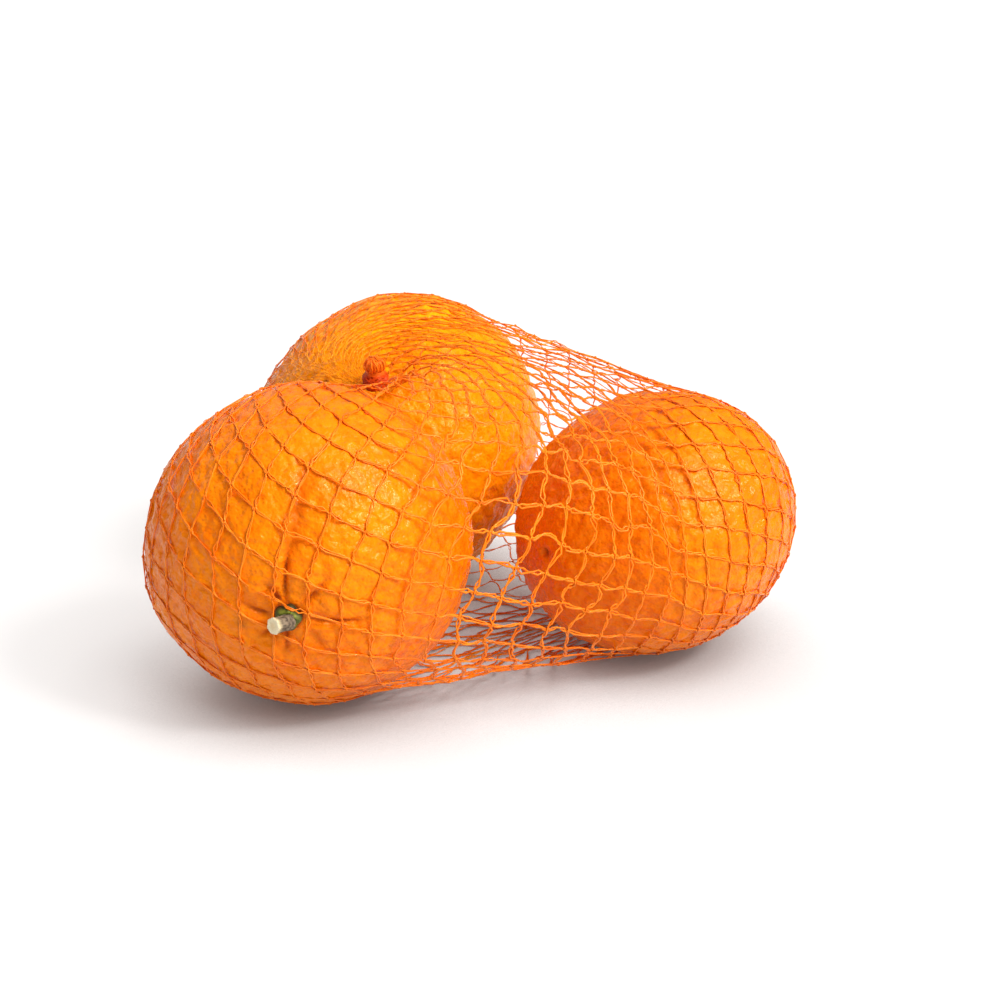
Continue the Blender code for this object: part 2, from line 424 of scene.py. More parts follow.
class Skin:
    """The frame's net_bag: the taut sheet that the net's junctions lie in."""

    def __init__(self):
        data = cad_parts["net_bag"].data
        self.tree = BVHTree.FromPolygons([vert.co[:] for vert in data.vertices],
                                         [face.vertices[:] for face in data.polygons])
        low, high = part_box("net_bag")
        self.middle = np.array((low + high) / 2)
        self.half = np.array((high - low) / 2)

    def out(self, directions):
        """Where rays from the middle leave the skin."""
        return np.array([self.tree.ray_cast(Vector(self.middle), Vector(way))[0]
                         for way in unit(directions * self.half)])

    def nearest(self, points):
        found = [self.tree.find_nearest(point)[:2] for point in points]
        return np.array([place for place, _ in found]), np.array([normal for _, normal in found])


def start_lattice(skin):
    """Junctions in rows from the near end to the far one, evenly round the line between the ends."""
    near = unit((np.array(DRAW_NEAR) - skin.middle) / skin.half)
    far = unit((np.array(DRAW_FAR) - skin.middle) / skin.half)
    side = unit(near - (near @ far) * far)
    other = np.cross(far, side)
    centre = (near @ side) / (1.0 - near @ far)
    row = np.arange(NET_ROWS + 1)[:, None]
    column = np.arange(NET_COLUMNS)[None]
    spread = np.exp(NEAR_SPREAD + (FAR_SPREAD - NEAR_SPREAD) * row / NET_ROWS)
    turn = (column + 0.5 * (row % 2) + NET_TWIST * row) * math.tau / NET_COLUMNS
    flat_x = centre + spread * np.cos(turn)
    flat_y = spread * np.sin(turn)
    square = flat_x ** 2 + flat_y ** 2
    directions = ((2 * flat_x / (1 + square))[..., None] * side
                  + (2 * flat_y / (1 + square))[..., None] * other
                  + ((square - 1) / (1 + square))[..., None] * far)
    return skin.out(directions.reshape(-1, 3)).reshape(directions.shape)


def strands():
    """Pairs of junctions that a strand joins."""
    pairs = []
    for row in range(NET_ROWS):
        for column in range(NET_COLUMNS):
            beside = (column - 1 if row % 2 == 0 else column + 1) % NET_COLUMNS
            for end in (column, beside):
                pairs.append((row * NET_COLUMNS + column, (row + 1) * NET_COLUMNS + end))
    return np.array(pairs)


def draw_tight(lattice, skin):
    """Slide the junctions over the skin until no strand is longer than it was knitted."""
    draw = np.random.default_rng(3)
    pairs = strands()
    first, second = pairs[:, 0], pairs[:, 1]
    longest = STRAND_LENGTH * (1 + STRAND_UNEVEN * draw.standard_normal(len(pairs)))
    for row, gather in ((0, GATHERS[0]), (NET_ROWS, GATHERS[1])):
        axis = unit(gather.axis)
        spoke = lattice[row] - lattice[row].mean(axis=0)
        spoke -= (spoke @ axis)[:, None] * axis
        lattice[row] = np.array(gather.foot) + GATHER_RING * unit(spoke)
    points = lattice.reshape(-1, 3)
    degree = np.bincount(pairs.ravel(), minlength=len(points))[:, None]
    held = np.zeros(len(points), dtype=bool)
    held[:NET_COLUMNS] = held[-NET_COLUMNS:] = True
    pinned = points[held].copy()
    free = (~held).astype(float)
    weight = np.maximum(free[first] + free[second], 1.0)
    for step in range(TENSION_STEPS):
        total = np.zeros_like(points)
        np.add.at(total, first, points[second])
        np.add.at(total, second, points[first])
        points += TENSION * (total / degree - points) * free[:, None]
        for _ in range(STRETCH_PASSES):
            span = points[second] - points[first]
            length = np.linalg.norm(span, axis=1)
            excess = np.maximum(length - longest, 0.0) / np.maximum(length, 1e-9) / weight
            tight = excess > 0
            move = np.zeros_like(points)
            count = np.zeros(len(points))
            np.add.at(move, first[tight], span[tight] * (excess * free[first])[tight, None])
            np.add.at(move, second[tight], -span[tight] * (excess * free[second])[tight, None])
            np.add.at(count, first[tight], 1)
            np.add.at(count, second[tight], 1)
            points += STRETCH_RATE * move / np.maximum(count, 1)[:, None]
        if step % 4 == 0 or step == TENSION_STEPS - 1:
            points[:] = skin.nearest(points)[0]
        points[held] = pinned
    return points.reshape(lattice.shape)


def clearance(points, middles):
    """Distance of each point from the nearest peel, and the way out from that fruit."""
    best = np.full(len(points), np.inf)
    way = np.zeros_like(points)
    for fruit, middle in zip(FRUITS, middles):
        offset = points - middle
        distance = np.linalg.norm(offset, axis=1)
        directions = offset / distance[:, None]
        gap = distance - fruit_form(fruit, directions)
        closer = gap < best
        best[closer] = gap[closer]
        way[closer] = directions[closer]
    return best, way


def calyx_lift(fruit, directions):
    """How far the net is held off the peel by the calyx."""
    if not fruit.creases:
        return 0.0
    angle = np.arccos(np.clip(directions @ unit(fruit.pole), -1.0, 1.0))
    share = angle * fruit.equator / (1.2 * CALYX_RADIUS)
    return CALYX_LIFT * np.sqrt(np.clip(1.0 - share ** 4, 0.0, 1.0))


def keep_off_peel(points, middles, gap):
    """Move points that are less than gap off a fruit, or off the table, out to it."""
    flat = points.reshape(-1, 3)
    for fruit, middle in zip(FRUITS, middles):
        offset = flat - middle
        distance = np.linalg.norm(offset, axis=1)
        near = np.flatnonzero(distance < fruit.equator * FRUIT_REACH + gap)
        directions = offset[near] / distance[near, None]
        needed = swelled(fruit, directions) + calyx_lift(fruit, directions) + gap
        inside = distance[near] < needed
        flat[near[inside]] = middle + directions[inside] * needed[inside, None]
    flat[:, 2] = flat[:, 2].clip(min=FILAMENT_THICKNESS + 0.05 * MM)
    return flat.reshape(points.shape)


class Net:
    """Junctions of the net with the directions that its chains are laid out by."""

    def __init__(self, skin, middles):
        draw = np.random.default_rng(5)
        lattice = draw_tight(start_lattice(skin), skin)
        shape = lattice.shape
        flat = lattice.reshape(-1, 3)
        gap, outward = clearance(flat, middles)
        loose = np.clip(gap / WEB_CLEARANCE, 0.0, 1.0)
        stray = draw.normal(size=flat.shape) * NET_SLACK
        stray *= (PEEL_STRAY + (1.0 - PEEL_STRAY) * loose)[:, None]
        inner = np.ones(shape[:2])
        inner[:2] = inner[-2:] = 0.0
        flat = flat + stray * inner.reshape(-1, 1)
        flat -= outward * (PEEL_HUG * (1.0 - loose) * inner.reshape(-1))[:, None]
        self.points = keep_off_peel(flat, middles, NET_ON_PEEL).reshape(shape)
        self.loose = loose.reshape(shape[:2])
        beside = np.linalg.norm(np.roll(self.points, -1, axis=1) - self.points, axis=2)
        taut = np.clip(self.points[..., 1] / WEB_TURN, -1.0, 1.0)
        self.width = np.clip(beside / OPEN_SPACING, DRAWN_WIDTH, 1.0)
        self.width *= 1.0 - WEB_WIDENING * self.loose * taut
        self.outward = skin.nearest(flat)[1].reshape(shape)
        self.wale = self.wale_directions()
        self.across = unit(np.cross(self.outward, self.wale))
        sideways = np.roll(self.points, -1, axis=1) - np.roll(self.points, 1, axis=1)
        if (self.across * sideways).sum() < 0:
            self.across *= -1.0

    def wale_directions(self):
        """At each junction, the way from the rows before it to the rows after it."""
        middle = np.array(self.points)
        beside = [np.roll(self.points[row], -1 if row % 2 else 1, axis=0) for row in range(NET_ROWS + 1)]
        pair = (middle + np.array(beside)) / 2
        # pair[row] lies between the two junctions of that row that a junction of the next row joins.
        ahead = np.empty_like(middle)
        behind = np.empty_like(middle)
        for row in range(NET_ROWS + 1):
            after, before = min(row + 1, NET_ROWS), max(row - 1, 0)
            ahead[row] = self.between(pair, after, row)
            behind[row] = self.between(pair, before, row)
        return unit(ahead - behind)

    def between(self, pair, other, row):
        if other == row:
            return self.points[row]
        return pair[other] if row % 2 == 0 else np.roll(pair[other], -1, axis=0)


def chain_paths(net, side, draw):
    """Middle lines of the zigzag chains that hang together with their neighbours at every junction."""
    rows = np.arange(NET_ROWS + 1)[None]
    columns = (np.arange(NET_COLUMNS)[:, None] - side * (rows % 2)) % NET_COLUMNS
    touch = np.where((rows % 2 == 0) == (side == 0), 1.0, -1.0)[..., None]
    node = net.points[rows, columns]
    wale = net.wale[rows, columns]
    across = net.across[rows, columns]
    outward = net.outward[rows, columns]
    loose = net.loose[rows, columns]
    width = net.width[rows, columns]
    seat = node + touch * CHAIN_ASIDE * across
    half = wale * JUNCTION_LENGTH / 2
    corners = np.stack((seat - half, seat + half), axis=2).reshape(NET_COLUMNS, -1, 3)
    normals = np.repeat(outward, 2, axis=1)
    slack = np.repeat(loose, 2, axis=1)
    widths = np.repeat(width, 2, axis=1)
    segment, share = [], []
    for index in range(corners.shape[1] - 1):
        count = SPAN_SAMPLES if index % 2 else JUNCTION_SAMPLES
        segment += [index] * count
        share += list(np.arange(count) / count)
    segment, share = np.array(segment), np.array(share)[:, None]
    in_span = (segment % 2 == 1)[None]
    path = corners[:, segment] * (1 - share) + corners[:, segment + 1] * share
    normal = unit(normals[:, segment] * (1 - share) + normals[:, segment + 1] * share)
    loosened = slack[:, segment] * (1 - share[:, 0]) + slack[:, segment + 1] * share[:, 0]
    widened = widths[:, segment] * (1 - share[:, 0]) + widths[:, segment + 1] * share[:, 0]
    for _ in range(2):
        path[:, 1:-1] = (path[:, :-2] + 2 * path[:, 1:-1] + path[:, 2:]) / 4
    sideways = unit(np.cross(along_path(path), normal))
    bow = draw.normal(size=(NET_COLUMNS, corners.shape[1]))[:, segment]
    least_bow, web_bow = STRAND_BOW
    bow *= np.sin(math.pi * share[:, 0])[None] * in_span * (least_bow + web_bow * loosened) * MM
    path += sideways * bow[..., None]
    return path, normal, segment, share[:, 0], in_span, widened


def filaments(net, side, middles, seed):
    """Two flat filaments for each chain, which twist about each other and part beside the junctions."""
    draw = np.random.default_rng(seed)
    path, normal, segment, share, in_span, width = chain_paths(net, side, draw)
    sideways = unit(np.cross(along_path(path), normal))
    segments = segment.max() + 1
    start_loop = draw.uniform(0.0, 1.0, (NET_COLUMNS, segments))[:, segment] ** 2
    end_loop = draw.uniform(0.0, 1.0, (NET_COLUMNS, segments))[:, segment] ** 2
    opening = (start_loop * np.exp(-((share - LOOP_PLACE) / LOOP_SPREAD) ** 2)
               + end_loop * np.exp(-((share - (1.0 - LOOP_PLACE)) / LOOP_SPREAD) ** 2))
    twist = draw.uniform(*CHAIN_TWIST, (NET_COLUMNS, segments))[:, segment]
    turn = np.cumsum(np.where(in_span, twist / SPAN_SAMPLES, JUNCTION_TWIST / JUNCTION_SAMPLES), axis=1)
    phase = math.tau * (turn + draw.uniform(0, 1, (NET_COLUMNS, 1)))
    paths, acrosses, outwards = [], [], []
    for way in (1.0, -1.0):
        parted = LOOP_OPENING * opening * in_span * np.sign(np.cos(phase))
        aside = way * width * (FILAMENT_ASIDE * np.cos(phase) + parted)
        lift = way * CHAIN_FLATNESS * FILAMENT_ASIDE * np.sin(phase)
        line = path + sideways * aside[..., None] + normal * lift[..., None]
        line += draw.normal(size=line.shape) * FILAMENT_STRAY
        roll = FILAMENT_ROLL * np.sin(phase + way)
        acrosses.append(sideways * np.cos(roll)[..., None] + normal * np.sin(roll)[..., None])
        outwards.append(normal * np.cos(roll)[..., None] - sideways * np.sin(roll)[..., None])
        paths.append(keep_off_peel(line, middles, FILAMENT_THICKNESS + FILAMENT_GAP))
    return *(np.concatenate(parts) for parts in (paths, acrosses, outwards)), np.tile(width, (2, 1))


def full(paths, value):
    return np.full(paths.shape[:2], value)


def thinned(width):
    """Share of its thickness that a filament keeps, from the share of its width that it keeps."""
    return DRAWN_THICKNESS + (1.0 - DRAWN_THICKNESS) * width


def thin_share(width, verts_each):
    """How far each vertex turns to the colour of drawn, thin net."""
    return np.repeat(np.clip(1.0 - width, 0.0, 1.0).ravel(), verts_each)


def build_chains(name, net, side, middles, material, seed):
    paths, across, outward, width = filaments(net, side, middles, seed)
    data = tube_mesh(name, paths, across, outward,
                     FILAMENT_WIDTH * width, FILAMENT_THICKNESS * thinned(width))
    piece = finish_piece(name, data, material, "net_bag")
    add_attribute(piece.data, "thin", thin_share(width, TUBE_SIDES))


def build_stitches(net, middles, material):
    """A loop of filament round the two chains at every junction."""
    draw = np.random.default_rng(9)
    points = net.points[1:-1].reshape(-1, 1, 3)
    wale = net.wale[1:-1].reshape(-1, 1, 3)
    across = net.across[1:-1].reshape(-1, 1, 3)
    outward = net.outward[1:-1].reshape(-1, 1, 3)
    width = net.width[1:-1].reshape(-1, 1)
    count = len(points)
    turn = np.arange(STITCH_SAMPLES)[None] * math.tau / STITCH_SAMPLES
    lean = STITCH_LEAN * draw.normal(size=(count, 1))
    least_width, gain = STITCH_WIDTH
    wide = (least_width + gain * draw.uniform(size=(count, 1))) * CHAIN_ASIDE * thinned(width)
    slant = lean * np.cos(turn) + STITCH_CURL * np.sin(2 * turn)
    path = (points + across * (wide * np.cos(turn))[..., None]
            + outward * (STITCH_HEIGHT * CHAIN_ASIDE * np.sin(turn))[..., None]
            + wale * (JUNCTION_LENGTH * slant)[..., None])
    path = keep_off_peel(path, middles, FILAMENT_THICKNESS)
    tangent = unit(np.roll(path, -1, axis=1) - np.roll(path, 1, axis=1))
    radial = unit(path - path.mean(axis=1, keepdims=True))
    radial = unit(radial - (radial * tangent).sum(axis=2, keepdims=True) * tangent)
    widths = STITCH_FILAMENT * FILAMENT_WIDTH * np.repeat(width, STITCH_SAMPLES, axis=1)
    data = tube_mesh("net_stitches", path, np.cross(tangent, radial), radial,
                     widths, full(path, STITCH_FILAMENT * FILAMENT_THICKNESS), closed=True)
    piece = finish_piece("net_stitches", data, material, "net_bag")
    add_attribute(piece.data, "thin", thin_share(width, TUBE_SIDES * STITCH_SAMPLES))


# ---------------------------------------------------------------- knots

def placed(origin, axis):
    """A frame at origin whose +Z runs along axis."""
    return Matrix.Translation(origin) @ Vector(axis).to_track_quat("Z", "Y").to_matrix().to_4x4()


def knot_radius(height):
    radii, heights = zip(*KNOT_PROFILE)
    return np.interp(height, heights, radii)


def round_axis(radius, turn, height):
    return np.stack((radius * np.cos(turn), radius * np.sin(turn), height), axis=-1)


def knot_lump(draw, steps):
    """Windings that wander up and down the drawn-up lump, some one way round and some the other."""
    windings, turns, waves = 26, 1.4, 1.2
    middle, swing = 2.7, 2.1        # millimetres
    phase = draw.uniform(0, math.tau, (windings, 1))
    rate = draw.uniform(0.7, 1.3, (windings, 1)) * np.where(draw.uniform(size=(windings, 1)) < 0.5, -1, 1)
    turn = phase + math.tau * turns * steps * np.sign(rate)
    height = (middle + swing * np.sin(phase * 3 + math.tau * steps * rate * waves)) * MM
    radius = knot_radius(height) * (0.94 + 0.06 * draw.uniform(size=(windings, 1)))
    return round_axis(radius, turn, height)


def knot_neck(steps):
    """Three filaments wound tight round the neck, one above another."""
    base, rise = 4.7, 0.35          # millimetres
    turns = 2.0
    turn = math.tau * (np.array([[0.0], [0.3], [0.7]]) + turns * steps)
    height = (base + np.array([[0.0], [0.3], [0.6]]) + rise * steps) * MM
    return round_axis(knot_radius(height) * 0.98, turn, height)


def knot_tuft(draw, steps):
    """Loops that stand up and out above the neck."""
    loops = 44
    spin = draw.uniform(0, math.tau, (loops, 1))
    size = draw.uniform(0.72, 1.0, (loops, 1))
    up = (5.0 + 2.1 * size * (1.0 - np.cos(math.pi * steps))) * MM
    out = 0.5 * MM + (2.4 * MM * size) * np.sin(math.pi * steps) ** 0.8
    sway = 0.5 * np.sin(math.pi * steps) * draw.normal(size=(loops, 1))
    return round_axis(out, spin + sway, up)


def build_knot(gather, material):
    draw = np.random.default_rng(gather.seed)
    seat = np.array(placed(Vector(gather.foot), Vector(gather.axis)))
    steps = np.linspace(0.0, 1.0, KNOT_SAMPLES)[None]
    lines = np.concatenate((knot_lump(draw, steps), knot_neck(steps), knot_tuft(draw, steps)))
    tangent = along_path(lines)
    axis_point = lines * np.array((0.0, 0.0, 1.0))
    outward = unit(lines - axis_point + np.array((0.0, 0.0, 0.4 * MM)))
    outward = unit(outward - (outward * tangent).sum(axis=2, keepdims=True) * tangent)
    across = np.cross(tangent, outward)
    turned = [way @ seat[:3, :3].T for way in (across, outward)]
    paths = lines @ seat[:3, :3].T + seat[:3, 3]
    data = tube_mesh(gather.name, paths, *turned,
                     full(paths, KNOT_FILAMENT * FILAMENT_WIDTH), full(paths, FILAMENT_THICKNESS))
    piece = finish_piece(gather.name, data, material, gather.node)
    # The tight attribute carries the knot's deep red: the colour of bunched net with painted shade of its
    # folds.
    add_attribute(piece.data, "tight", np.repeat(knot_red_and_shade(lines[..., 2]).ravel(), TUBE_SIDES))
    build_knot_core(gather, seat, material)


def knot_red_and_shade(height):
    """How far the knot turns deep red, the red of densely bunched net with painted shade of its folds: 1
    in the drawn-up lump, fading towards the tuft above the neck.
    """
    neck, fade = 4.4, 1.4           # millimetres
    return 1.0 - 0.95 * np.clip((height / MM - neck) / fade, 0.0, 1.0)


def build_knot_core(gather, seat, material):
    """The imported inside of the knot, ruffled like the folds of net round it."""
    sides, rings = 96, 40
    height = np.linspace(-0.6 * MM, 8.6 * MM, rings)[:, None]
    turn = np.arange(sides)[None] * math.tau / sides
    ruffle = 1.0 + 0.07 * np.sin(17 * turn + 900 * height) + 0.05 * np.sin(11 * turn - 1300 * height)
    radius = knot_radius(height) * 0.86 * ruffle
    verts = round_axis(radius, turn + 0 * height, height + 0 * turn).reshape(-1, 3)
    verts = verts @ seat[:3, :3].T + seat[:3, 3]
    corner = np.arange(sides * rings).reshape(rings, sides)
    faces = ring_faces(corner) + [corner[0, ::-1].tolist(), corner[-1].tolist()]
    data = bpy.data.meshes.new(gather.name + "_core")
    data.from_pydata(verts.tolist(), [], faces)
    piece = finish_piece(gather.name + "_core", data, material, gather.node)
    # The tight attribute carries the core's deep red: the colour of bunched net with painted shade of its
    # folds.
    add_attribute(piece.data, "tight", np.repeat(knot_red_and_shade(height[:, 0]), sides))


# ---------------------------------------------------------------- calyx and stem

def build_calyx(skin, middle, calyx_green, stem_cream):
    outward = Vector(FRONT.pole).normalized()
    foot, normal = skin.tree.ray_cast(Vector(middle), outward)[:2]
    if normal.dot(outward) < 0.0:
        normal = -normal
    seat = placed(foot, normal)
    build_button(seat, calyx_green)
    build_stem(seat, normal, stem_cream)


def build_button(seat, material):
    """A five-lobed green button with a raised rim, creased between its lobes."""
    sides, rings = 120, 26
    turn = np.arange(sides)[None] * math.tau / sides
    share = np.linspace(1.0, 0.0, rings)[:, None]
    lobes = 1.0 - CALYX_LOBE_DEPTH * np.sin(CALYX_LOBES * turn / 2) ** 2
    crease = np.exp(-((((turn * CALYX_LOBES / math.tau) + 0.5) % 1.0 - 0.5) / 0.07) ** 2)
    ridged = 0.04 * np.sin(23 * turn + 4 * share)
    radius = CALYX_RADIUS * lobes * share
    shoulder = 0.8 + 0.35 * np.exp(-((share - 0.68) / 0.2) ** 2)
    top = CALYX_HEIGHT * (np.sqrt(np.clip(1 - share ** 4, 0, 1)) * shoulder
                          - 0.16 * crease * share * (1 - share ** 6) + ridged * share * (1 - share))
    height = 0.3 * MM + top
    points = round_axis(radius, turn + 0 * share, height)
    skirt = round_axis(CALYX_RADIUS * lobes * 0.96, turn, -1.6 * MM + 0 * turn)
    verts = np.concatenate((skirt, points[:-1])).reshape(-1, 3).tolist()
    verts.append([0.0, 0.0, float(height[-1].mean())])
    corner = np.arange(sides * rings).reshape(rings, sides)
    tip = len(verts) - 1
    faces = ring_faces(corner) + [corner[0, ::-1].tolist()] + tip_faces(corner[-1], tip)
    data = bpy.data.meshes.new("calyx_button")
    data.from_pydata(verts, [], faces)
    data.transform(seat)
    piece = finish_piece("calyx_button", data, material, "calyx")
    rim = np.concatenate((np.ones(sides), np.repeat(share[:-1, 0], sides), [0.0]))
    add_attribute(piece.data, "rim", rim)


def build_stem(seat, normal, material):
    """The stem's stub: ribbed bark and a flat, paler cut end with its pith."""
    lean = Vector(STEM_DIRECTION).normalized()
    clear = STEM_RADIUS * lean.cross(normal).length
    base = seat @ Vector((0.0, 0.0, CALYX_HEIGHT)) + clear * normal
    sides, rings, cap_rings = 72, 30, 10
    turn = np.arange(sides)[None] * math.tau / sides
    share = np.linspace(-0.25, 1.0, rings)[:, None]
    ribs = 1.0 + 0.05 * np.sin(7 * turn + 2 * share) + 0.025 * np.sin(19 * turn - 5 * share)
    taper = 1.0 - 0.08 * share + 0.14 * np.exp(-((share - 0.93) / 0.06) ** 2)
    corners = 1.0 + 0.025 * np.cos(5 * turn)
    radius = STEM_RADIUS * taper * ribs * corners
    side = round_axis(radius, turn + 0 * share, STEM_LENGTH * share + 0 * turn)
    inward = np.linspace(1.0, 0.0, cap_rings + 1)[1:, None]
    face_height = STEM_LENGTH * (1.0 - 0.02 * (1 - inward) + 0.03 * np.exp(-(inward / 0.3) ** 2))
    face = side[-1:] * np.array((1.0, 1.0, 0.0)) * inward[..., None] + np.stack(
        (0 * inward, 0 * inward, face_height), axis=-1)
    verts = np.concatenate((side, face[:-1])).reshape(-1, 3).tolist()
    verts.append([0.0, 0.0, float(face_height[-1, 0])])
    total = rings + cap_rings - 1
    corner = np.arange(sides * total).reshape(total, sides)
    tip = len(verts) - 1
    faces = ring_faces(corner) + [corner[0, ::-1].tolist()] + tip_faces(corner[-1], tip)
    data = bpy.data.meshes.new("stem_cut")
    data.from_pydata(verts, [], faces)
    data.transform(placed(base, lean))
    piece = finish_piece("stem_cut", data, material, "stem_stub")
    cut = np.concatenate((np.zeros(sides * (rings - 1)), np.ones(sides * cap_rings), [1.0]))
    pith = np.concatenate((np.zeros(sides * rings), np.repeat(1 - inward[:-1, 0], sides), [1.0]))
    add_attribute(piece.data, "cut", cut)
    add_attribute(piece.data, "length", np.concatenate((np.repeat(share[:, 0], sides),
                                                        np.ones(sides * (cap_rings - 1) + 1))))
    add_attribute(piece.data, "pith", pith)


# ---------------------------------------------------------------- materials

class Shader:
    """A Principled material under construction."""

    def __init__(self, name, roughness, specular=0.5, tint=(1.0, 1.0, 1.0)):
        self.material = bpy.data.materials.new(name)
        self.material.use_nodes = True
        self.nodes = self.material.node_tree.nodes
        self.links = self.material.node_tree.links
        self.principled = self.nodes["Principled BSDF"]
        self.principled.inputs["Roughness"].default_value = roughness
        self.principled.inputs["IOR"].default_value = 1.4
        self.principled.inputs["Specular IOR Level"].default_value = specular
        self.principled.inputs["Specular Tint"].default_value = (*tint, 1.0)
        self.place = self.nodes.new("ShaderNodeTexCoord").outputs["Object"]

    def noise(self, scale, detail=2.0):
        node = self.nodes.new("ShaderNodeTexNoise")
        node.inputs["Scale"].default_value = scale
        node.inputs["Detail"].default_value = detail
        self.links.new(self.place, node.inputs["Vector"])
        return node.outputs["Fac"]

    def cells(self, scale):
        node = self.nodes.new("ShaderNodeTexVoronoi")
        node.feature = "SMOOTH_F1"
        node.inputs["Scale"].default_value = scale
        node.inputs["Smoothness"].default_value = 0.6
        self.links.new(self.place, node.inputs["Vector"])
        return node.outputs["Distance"]

    def attribute(self, name):
        node = self.nodes.new("ShaderNodeAttribute")
        node.attribute_name = name
        return node.outputs["Fac"]

    def span(self, value, low, high, to_low=0.0, to_high=1.0):
        """value mapped from low..high to to_low..to_high, and held there outside."""
        node = self.nodes.new("ShaderNodeMapRange")
        self.links.new(value, node.inputs["Value"])
        numbers = {"From Min": low, "From Max": high, "To Min": to_low, "To Max": to_high}
        for socket, number in numbers.items():
            node.inputs[socket].default_value = number
        return node.outputs["Result"]

    def math(self, operation, first, second):
        node = self.nodes.new("ShaderNodeMath")
        node.operation = operation
        for socket, value in zip(node.inputs, (first, second)):
            if isinstance(value, (int, float)):
                socket.default_value = value
            else:
                self.links.new(value, socket)
        return node.outputs["Value"]

    def set_colour(self, socket, value):
        if isinstance(value, tuple):
            socket.default_value = (*value, 1.0)
        else:
            self.links.new(value, socket)

    def mix(self, factor, first, second):
        node = self.nodes.new("ShaderNodeMix")
        node.data_type = "RGBA"
        self.links.new(factor, node.inputs[0])
        self.set_colour(node.inputs[6], first)
        self.set_colour(node.inputs[7], second)
        return node.outputs[2]

    def bump(self, height, strength, distance, under=None):
        node = self.nodes.new("ShaderNodeBump")
        node.inputs["Strength"].default_value = strength
        node.inputs["Distance"].default_value = distance
        self.links.new(height, node.inputs["Height"])
        if under is not None:
            self.links.new(under, node.inputs["Normal"])
        return node.outputs["Normal"]

    def finish(self, colour, normal=None, roughness=None):
        self.set_colour(self.principled.inputs["Base Color"], colour)
        if normal is not None:
            self.links.new(normal, self.principled.inputs["Normal"])
        if roughness is not None:
            self.links.new(roughness, self.principled.inputs["Roughness"])
        return self.material


def between(orange, yellow, share):
    return tuple(low + (high - low) * share for low, high in zip(orange, yellow))


def peel_material(fruit):
    shader = Shader(fruit.name + "_peel", 0.3, specular=0.34, tint=(1.0, 0.70, 0.36))
    deep = between((0.80, 0.118, 0.001), (0.91, 0.225, 0.001), fruit.yellow)
    light = between((0.88, 0.168, 0.001), (0.96, 0.315, 0.001), fruit.yellow)
    pale = between((0.95, 0.225, 0.003), (0.98, 0.375, 0.003), fruit.yellow)
    blotch = shader.span(shader.noise(55, 3.0), 0.35, 0.68)
    fine = shader.span(shader.noise(480, 2.0), 0.35, 0.65)
    pores = shader.cells(950)
    colour = shader.mix(blotch, deep, light)
    colour = shader.mix(shader.math("MULTIPLY", fine, 0.5), colour, pale)
    colour = shader.mix(shader.span(pores, 0.0, 0.35, 0.45, 0.0), colour, (0.76, 0.100, 0.001))
    # Painted shade: the peel turns dark red along its creases and in a ring round the calyx.
    peel_painted_shade = shader.math("MULTIPLY", shader.attribute("peel_painted_shade"), 0.85)
    colour = shader.mix(peel_painted_shade, colour, (0.38, 0.040, 0.003))
    colour = shader.mix(shader.attribute("spot"), colour, (0.13, 0.035, 0.010))
    roughness = shader.span(shader.noise(300, 2.0), 0.3, 0.7, 0.15, 0.30)
    relief = shader.bump(shader.noise(430, 2.6), 0.85, 0.7 * MM)
    relief = shader.bump(shader.noise(1100, 2.0), 0.6, 0.2 * MM, relief)
    relief = shader.bump(pores, 0.8, 0.22 * MM, relief)
    return shader.finish(colour, relief, roughness)


def net_material():
    shader = Shader("orange_net", 0.28, specular=0.40, tint=(1.0, 0.74, 0.46))
    tone = shader.span(shader.noise(130, 3.0), 0.3, 0.7)
    colour = shader.mix(tone, (0.91, 0.165, 0.006), (0.95, 0.245, 0.012))
    thin = shader.span(shader.attribute("thin"), 0.25, 0.70, 0.0, 0.7)
    colour = shader.mix(thin, colour, (0.97, 0.42, 0.008))
    # Deep red in the knots: the colour of densely bunched net, with painted shade of the knot's folds.
    colour = shader.mix(shader.attribute("tight"), colour, (0.55, 0.045, 0.004))
    glint = shader.bump(shader.noise(2600, 2.0), 0.35, 0.1 * MM)
    return shader.finish(colour, glint, shader.span(shader.noise(900), 0.3, 0.7, 0.16, 0.38))


def calyx_material():
    shader = Shader("calyx_green", 0.5)
    tone = shader.span(shader.noise(700, 4.0), 0.35, 0.65)
    colour = shader.mix(tone, (0.045, 0.055, 0.004), (0.20, 0.21, 0.014))
    # Painted shade: the calyx darkens at its outer edge, where it sits in the peel.
    colour = shader.mix(shader.span(shader.attribute("rim"), 0.82, 1.0), colour, (0.035, 0.030, 0.008))
    colour = shader.mix(shader.span(shader.attribute("rim"), 0.50, 0.30), colour, (0.22, 0.13, 0.06))
    return shader.finish(colour, shader.bump(shader.noise(1500, 3.0), 0.5, 0.2 * MM))


def stem_material():
    shader = Shader("stem_cream", 0.7)
    rough = shader.span(shader.noise(1100, 4.0), 0.35, 0.65)
    bark = shader.mix(rough, (0.045, 0.028, 0.016), (0.22, 0.16, 0.10))
    bark = shader.mix(shader.span(shader.attribute("length"), 0.62, 0.95), bark, (0.60, 0.48, 0.28))
    inner = shader.span(shader.attribute("pith"), 0.25, 0.75)
    pith = shader.mix(inner, (0.92, 0.80, 0.55), (0.82, 0.64, 0.38))
    speck = shader.span(shader.noise(2400, 2.0), 0.35, 0.65, 0.0, 0.25)
    grain = shader.mix(speck, pith, (0.45, 0.38, 0.20))
    colour = shader.mix(shader.attribute("cut"), bark, grain)
    return shader.finish(colour, shader.bump(shader.noise(1800, 3.0), 0.5, 0.15 * MM))


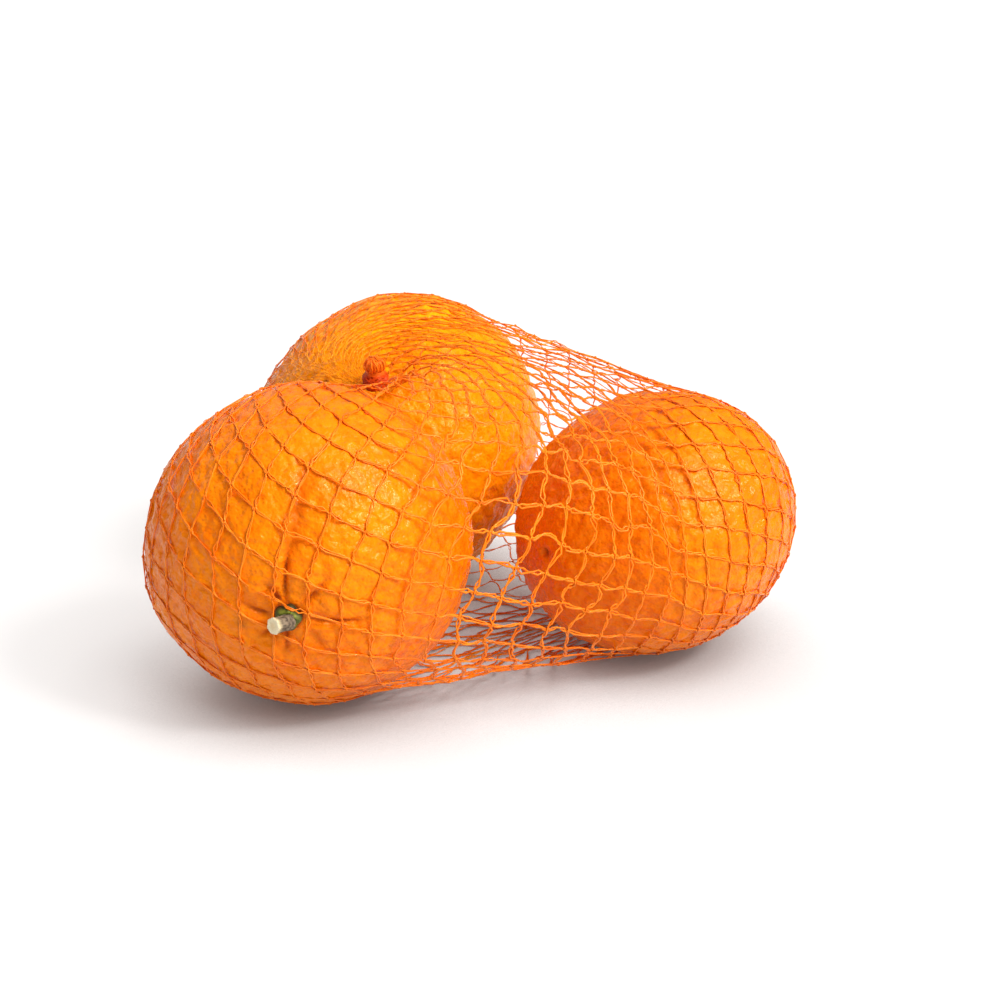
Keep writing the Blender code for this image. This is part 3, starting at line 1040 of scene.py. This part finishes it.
def floor_material():
    """A white table that glows: painted light standing for the studio's walls, dimmed to a painted shadow
    where something covers the table.
    """
    shader = Shader("floor_painted_glow", 0.9)
    painted_shadow_occlusion = shader.nodes.new("ShaderNodeAmbientOcclusion")
    painted_shadow_occlusion.samples = 4
    painted_shadow_occlusion.inputs["Distance"].default_value = FLOOR_SHADE_REACH
    # Painted shadow: the floor's painted light fades to dark grey near whatever covers it.
    share = shader.span(painted_shadow_occlusion.outputs["AO"], 0.25, 0.80)
    painted_glow_and_shadow = shader.mix(share, (0.10, 0.099, 0.098), (1.0, 0.985, 0.98))
    shader.links.new(painted_glow_and_shadow, shader.principled.inputs["Emission Color"])
    shader.principled.inputs["Emission Strength"].default_value = 0.64
    return shader.finish((0.30, 0.296, 0.292))


# ---------------------------------------------------------------- studio

def soft_light(name, source, spread, strength):
    """A distant light from the direction of source, spread degrees wide."""
    data = bpy.data.lights.new(name, "SUN")
    data.angle = math.radians(spread)
    data.energy = strength
    light = bpy.data.objects.new(name, data)
    light.rotation_euler = Vector(source).to_track_quat("Z", "Y").to_euler()
    bpy.context.scene.collection.objects.link(light)


def build_studio():
    floor_half = 3.0
    data = bpy.data.meshes.new("floor")
    corners = [(x * floor_half, y * floor_half, 0.0) for x, y in ((-1, -1), (1, -1), (1, 1), (-1, 1))]
    data.from_pydata(corners, [], [(0, 1, 2, 3)])
    data.materials.append(floor_material())
    floor = bpy.data.objects.new("floor", data)
    bpy.context.scene.collection.objects.link(floor)
    world = bpy.data.worlds.new("studio")
    world.use_nodes = True
    world.node_tree.nodes["Background"].inputs["Color"].default_value = (1.0, 0.92, 0.82, 1.0)
    world.node_tree.nodes["Background"].inputs["Strength"].default_value = 0.26
    bpy.context.scene.world = world
    soft_light("key", (0.52, -0.38, 0.77), 58.0, 3.3)
    soft_light("accent", (0.62, -0.36, 0.70), 12.0, 1.9)
    soft_light("fill", (-0.55, 0.62, 0.56), 70.0, 0.5)
    bpy.context.scene.view_settings.view_transform = "Standard"


def build_camera():
    data = bpy.data.cameras.new("camera")
    data.lens = CAMERA_LENS
    data.sensor_width = CAMERA_SENSOR
    camera = bpy.data.objects.new("camera", data)
    camera.location = CAMERA_PLACE
    camera.rotation_euler = (math.radians(CAMERA_TILT), 0.0, 0.0)
    bpy.context.scene.collection.objects.link(camera)
    bpy.context.scene.camera = camera


def main():
    build_camera()
    build_studio()
    netting = net_material()
    middles = [build_fruit(fruit) for fruit in FRUITS]
    skin = Skin()
    net = Net(skin, middles)
    build_chains("net_chains_right", net, 0, middles, netting, 21)
    build_chains("net_chains_left", net, 1, middles, netting, 22)
    build_stitches(net, middles, netting)
    for gather in GATHERS:
        build_knot(gather, netting)
    build_calyx(skin, middles[0], calyx_material(), stem_material())


main()
